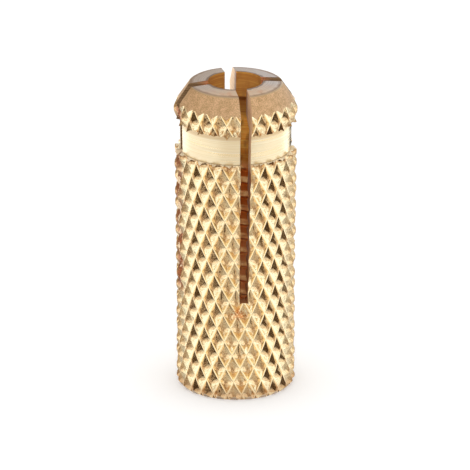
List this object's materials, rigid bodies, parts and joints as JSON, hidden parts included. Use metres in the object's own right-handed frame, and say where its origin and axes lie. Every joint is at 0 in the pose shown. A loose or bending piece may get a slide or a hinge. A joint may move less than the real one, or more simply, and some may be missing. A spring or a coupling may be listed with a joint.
{
  "type": "drop-in anchor",
  "caption": "Brass drop-in anchor: a knurled sleeve with an internal thread, a plain neck and a slotted cone that spreads as a screw is driven in.",
  "frame": {"origin": "centre of the mouth face, where the threaded bore opens and the anchor stands", "axes": "+Z along the bore axis from the mouth to the slotted tip; the slots face +X, -X, +Y and -Y"},
  "size_m": [0.0122, 0.0122, 0.0318],
  "materials": {
    "brass": "turned and knurled, lightly tarnished"
  },
  "bodies": {
    "root": {"sleeve": "brass"}
  },
  "joints": []
}
